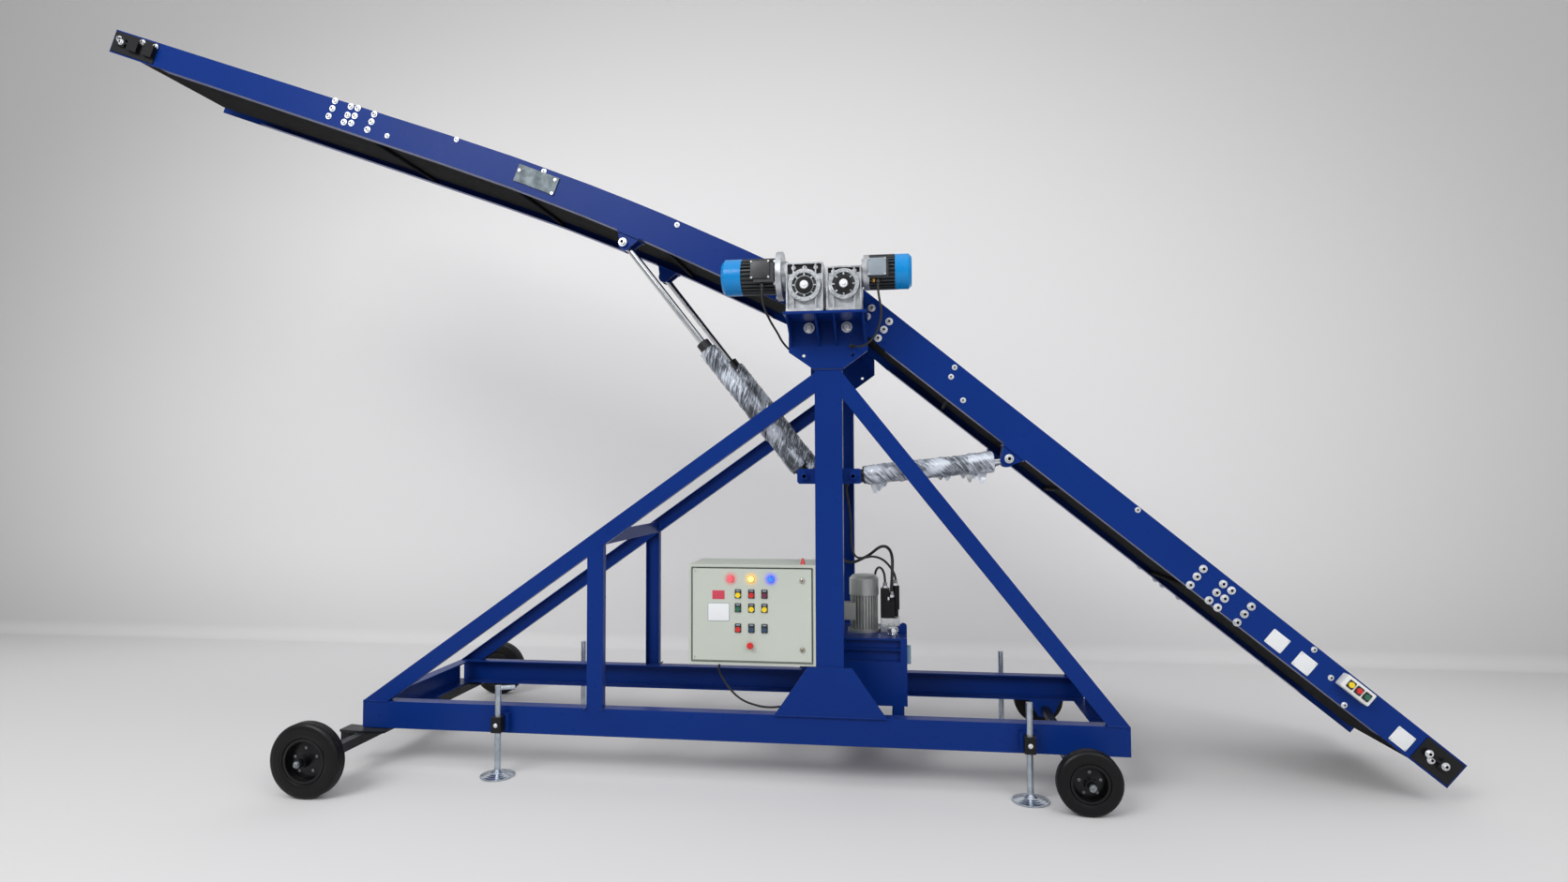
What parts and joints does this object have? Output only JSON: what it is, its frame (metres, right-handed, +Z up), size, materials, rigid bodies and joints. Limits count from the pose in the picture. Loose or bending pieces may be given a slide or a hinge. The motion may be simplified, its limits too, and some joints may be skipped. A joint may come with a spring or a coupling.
{
  "type": "mobile bag stacker conveyor",
  "caption": "Wheeled bag stacking conveyor: a braced mast on a channel frame carries a low feed belt boom and a long rising stacking belt boom, each lifted by hydraulic cylinders.",
  "frame": {"origin": "on the floor below the middle of the overall box", "axes": "+X towards the feed end, -Y the cabinet side, +Z up"},
  "size_m": [6.6676, 1.974, 3.8892],
  "materials": {
    "blue_paint": "gloss enamel over welded steel",
    "black_steel": "satin black",
    "zinc": "zinc plated",
    "gear_alloy": "die cast",
    "motor_grey": "painted dark grey",
    "cowl_blue": "gloss",
    "belt_rubber": "matt",
    "tyre_rubber": "ribbed",
    "rim_black": "satin black",
    "cabinet_grey": "pale grey powder coat",
    "signal_red": "moulded",
    "control_plastic": "moulded",
    "pump_grey": "grey enamel"
  },
  "bodies": {
    "frame": {"base_rails": "blue_paint", "base_crossbeams": "blue_paint", "mast_posts": "blue_paint", "braces": "blue_paint", "brace_uprights": "blue_paint", "head_plates": "blue_paint", "mast_ties": "blue_paint", "bearing_blocks": "black_steel", "gearboxes": "gear_alloy", "motor_flanges": "gear_alloy", "motors": "motor_grey", "motor_cowls": "cowl_blue", "drive_drums": "zinc", "fixed_axle": "black_steel", "jack_brackets": "blue_paint", "jack_sleeves": "black_steel", "cabinet_shell": "cabinet_grey", "beacon": "signal_red", "tank": "blue_paint", "pack_motor": "pump_grey", "pack_manifold": "gear_alloy", "pack_valves": "black_steel", "cable_glands": "black_steel", "cabinet_cable": "belt_rubber", "left_motor_cable": "belt_rubber", "right_motor_cable": "belt_rubber", "pack_hose_a": "belt_rubber", "pack_hose_b": "belt_rubber", "pack_hose_c": "belt_rubber"},
    "upper_boom": {"upper_sides": "blue_paint", "upper_bed": "black_steel", "upper_belt": "belt_rubber", "upper_end_roller": "zinc", "upper_takeups": "black_steel", "upper_cover": "zinc"},
    "lower_boom": {"lower_sides": "blue_paint", "lower_bed": "black_steel", "lower_belt": "belt_rubber", "lower_end_roller": "zinc", "lower_takeups": "black_steel", "foot_station": "cabinet_grey"},
    "upper_lift_barrels": {"upper_barrels": "zinc"},
    "upper_lift_rods": {"upper_rods": "zinc"},
    "lower_lift_barrels": {"lower_barrels": "zinc"},
    "lower_lift_rods": {"lower_rods": "zinc"},
    "cabinet_door": {"cabinet_door": "cabinet_grey", "door_controls": "control_plastic"},
    "steer_axle": {"steer_axle": "black_steel"},
    "steer_wheel_near": {"steer_tyre_near": "tyre_rubber", "steer_rim_near": "rim_black"},
    "steer_wheel_far": {"steer_tyre_far": "tyre_rubber", "steer_rim_far": "rim_black"},
    "fixed_wheel_near": {"fixed_tyre_near": "tyre_rubber", "fixed_rim_near": "rim_black"},
    "fixed_wheel_far": {"fixed_tyre_far": "tyre_rubber", "fixed_rim_far": "rim_black"},
    "jack_left_near": {"jack_left_near": "zinc"},
    "jack_left_far": {"jack_left_far": "zinc"},
    "jack_right_near": {"jack_right_near": "zinc"},
    "jack_right_far": {"jack_right_far": "zinc"}
  },
  "joints": [
    {"name": "upper_boom_lift", "type": "hinge", "parent": "frame", "child": "upper_boom", "pos_m": [0.53688, 0, 2.275], "axis": [0, 1, 0], "range_deg": [-25, 3]},
    {"name": "lower_boom_lift", "type": "hinge", "parent": "frame", "child": "lower_boom", "pos_m": [0.71288, 0, 2.275], "axis": [0, -1, 0], "range_deg": [0, 25]},
    {"name": "upper_barrel_swing", "type": "hinge", "parent": "frame", "child": "upper_lift_barrels", "pos_m": [0.50488, 0, 1.421], "axis": [0, 1, 0], "range_deg": [-14.7, 2.32]},
    {"name": "upper_rod_extend", "type": "slide", "parent": "upper_lift_barrels", "child": "upper_lift_rods", "axis": [-0.6133, 0, 0.7898], "range_m": [-0.2763, 0.0436]},
    {"name": "lower_barrel_swing", "type": "hinge", "parent": "frame", "child": "lower_lift_barrels", "pos_m": [0.73488, 0, 1.421], "axis": [0, -1, 0], "range_deg": [-0.8, 20.75]},
    {"name": "lower_rod_extend", "type": "slide", "parent": "lower_lift_barrels", "child": "lower_lift_rods", "axis": [0.9951, 0, 0.0992], "range_m": [-0.0145, 0.3778]},
    {"name": "cabinet_door_swing", "type": "hinge", "parent": "frame", "child": "cabinet_door", "pos_m": [-0.00812, -0.496, 0.7765], "axis": [0, 0, -1], "range_deg": [0, 110]},
    {"name": "steer_turn", "type": "hinge", "parent": "frame", "child": "steer_axle", "pos_m": [-1.67512, 0, 0.188], "axis": [0, 0, 1], "range_deg": [-25, 25]},
    {"name": "steer_wheel_near_spin", "type": "hinge", "parent": "steer_axle", "child": "steer_wheel_near", "pos_m": [-1.67512, -0.918, 0.167], "axis": [0, 1, 0], "continuous": true},
    {"name": "steer_wheel_far_spin", "type": "hinge", "parent": "steer_axle", "child": "steer_wheel_far", "pos_m": [-1.67512, 0.918, 0.167], "axis": [0, 1, 0], "continuous": true},
    {"name": "fixed_wheel_near_spin", "type": "hinge", "parent": "frame", "child": "fixed_wheel_near", "pos_m": [1.72688, -0.682, 0.136], "axis": [0, 1, 0], "continuous": true},
    {"name": "fixed_wheel_far_spin", "type": "hinge", "parent": "frame", "child": "fixed_wheel_far", "pos_m": [1.72688, 0.682, 0.136], "axis": [0, 1, 0], "continuous": true},
    {"name": "jack_left_near_screw", "type": "slide", "parent": "frame", "child": "jack_left_near", "axis": [0, 0, 1], "range_m": [0, 0.15]},
    {"name": "jack_left_far_screw", "type": "slide", "parent": "frame", "child": "jack_left_far", "axis": [0, 0, 1], "range_m": [0, 0.15]},
    {"name": "jack_right_near_screw", "type": "slide", "parent": "frame", "child": "jack_right_near", "axis": [0, 0, 1], "range_m": [0, 0.15]},
    {"name": "jack_right_far_screw", "type": "slide", "parent": "frame", "child": "jack_right_far", "axis": [0, 0, 1], "range_m": [0, 0.15]}
  ],
  "couplings": [
    {"joint": "upper_barrel_swing", "follows": "upper_boom_lift", "ratio": 0.56261},
    {"joint": "upper_rod_extend", "follows": "upper_boom_lift", "m_per_rad": 0.60615},
    {"joint": "lower_barrel_swing", "follows": "lower_boom_lift", "ratio": 0.79806},
    {"joint": "lower_rod_extend", "follows": "lower_boom_lift", "m_per_rad": 0.8325}
  ]
}
